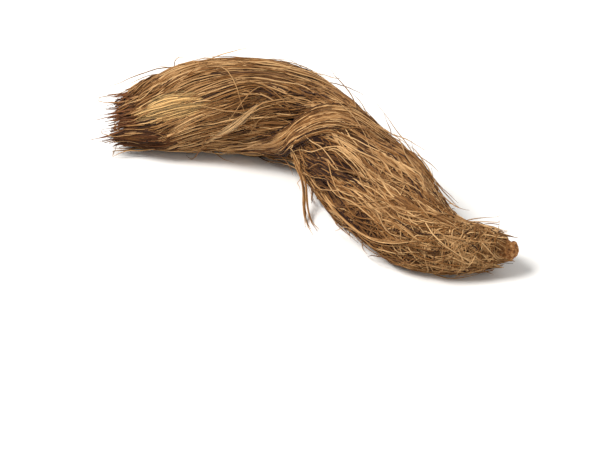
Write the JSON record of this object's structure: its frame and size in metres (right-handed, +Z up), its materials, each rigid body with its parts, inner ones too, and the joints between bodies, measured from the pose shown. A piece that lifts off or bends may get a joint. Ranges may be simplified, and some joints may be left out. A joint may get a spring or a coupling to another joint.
{
  "type": "spikenard root",
  "caption": "Dried spikenard root: a woody rhizome in an S-bent coat of combed brown fibres, with a felted neck, a bare rusty tip and a ragged tail.",
  "frame": {"origin": "a point in the flat spot under the belly that the root rests on", "axes": "+X along the root from the ragged tail to the bare tip, +Z up, -Y towards the side that faces the viewer"},
  "size_m": [0.1191, 0.05, 0.0259],
  "materials": {
    "coat_fibre": "dry combed brown fibre",
    "rhizome_bark": "rusty dry bark",
    "golden_fibre": "dry golden fibre",
    "pale_fibre": "dry pale tan fibre",
    "dark_fibre": "dry dark red-brown fibre"
  },
  "bodies": {
    "root": {"fibre_coat": "coat_fibre", "rhizome_tip": "rhizome_bark", "golden_lock": "golden_fibre", "folded_lock": "pale_fibre", "dark_lock": "dark_fibre"}
  },
  "joints": []
}
